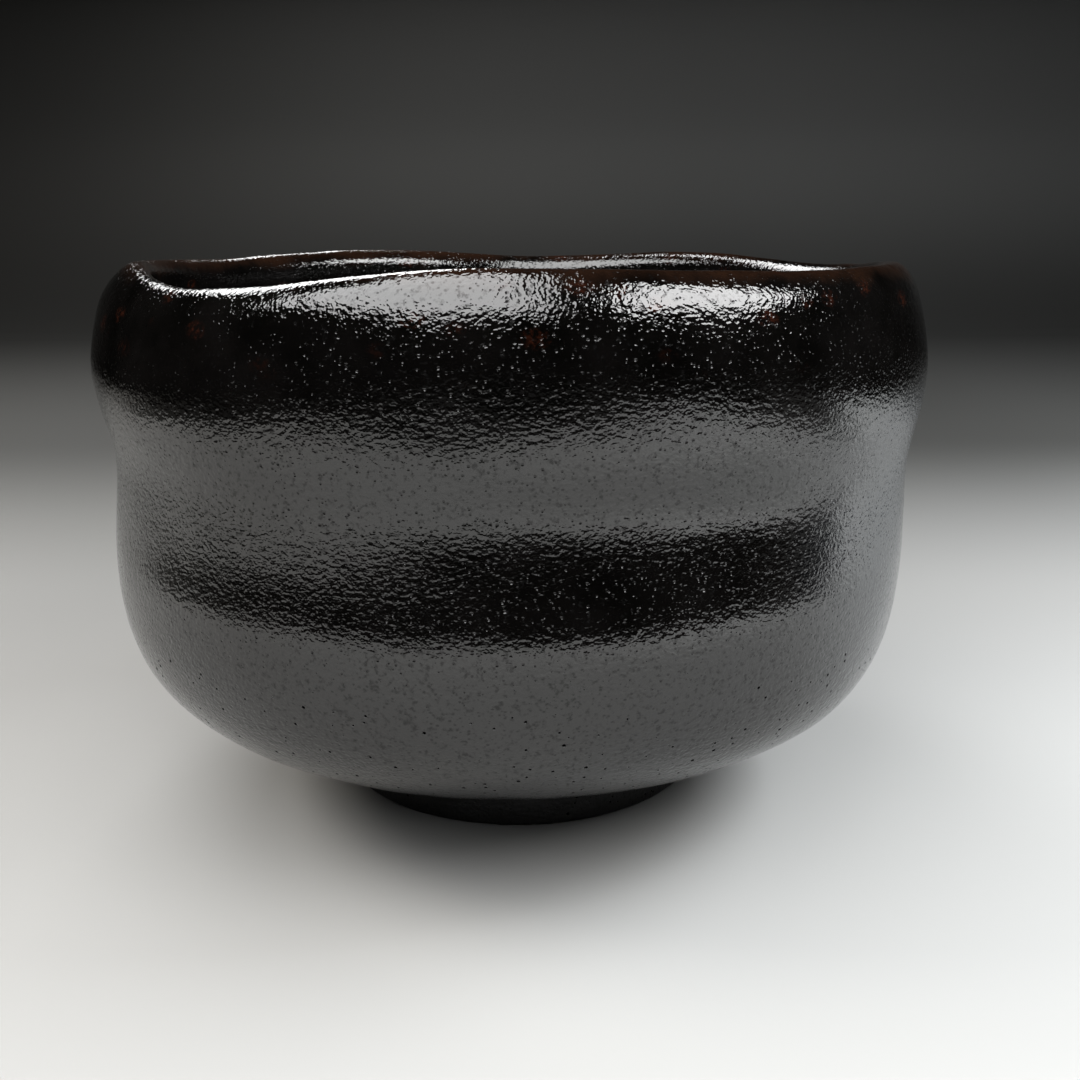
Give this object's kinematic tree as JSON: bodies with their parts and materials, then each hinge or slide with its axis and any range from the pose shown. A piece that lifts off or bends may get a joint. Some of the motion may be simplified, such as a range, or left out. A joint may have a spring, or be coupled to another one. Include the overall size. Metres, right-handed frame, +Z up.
{
  "type": "matcha bowl",
  "caption": "Hand-formed black-glazed tea bowl: round wall with a swelling lip band, shallow waist and rounded hip on a small trimmed foot ring, open at the top.",
  "frame": {"origin": "middle of the bowl on the surface that its foot stands on", "axes": "+Z up out of the bowl's mouth, -Y the bowl's front, which is the side seen in the reference view; +X to its right"},
  "size_m": [0.1213, 0.1206, 0.0797],
  "materials": {
    "body_clay": "fired dark clay, hidden under the glaze except in a thin line above the foot",
    "foot_clay": "bare fired clay, matt and slightly gritty where the foot stands",
    "slip": "fired slip, satin, squeezed out in an uneven bead",
    "outer_black_glaze": "glossy black glaze with a fine orange-peel grain, small pinholes and iron-red flecks near the lip",
    "inner_black_glaze": "glossy black glaze, smoother than outside",
    "foot_black_glaze": "black glaze brushed thin on the foot, satin, with small beads along its edge",
    "recess_black_glaze": "black glaze brushed thin inside the foot, satin"
  },
  "bodies": {
    "root": {"clay_body": "body_clay", "foot_ring": "foot_clay", "luting_slip": "slip", "outer_glaze": "outer_black_glaze", "inner_glaze": "inner_black_glaze", "foot_glaze": "foot_black_glaze", "recess_glaze": "recess_black_glaze"}
  },
  "joints": []
}
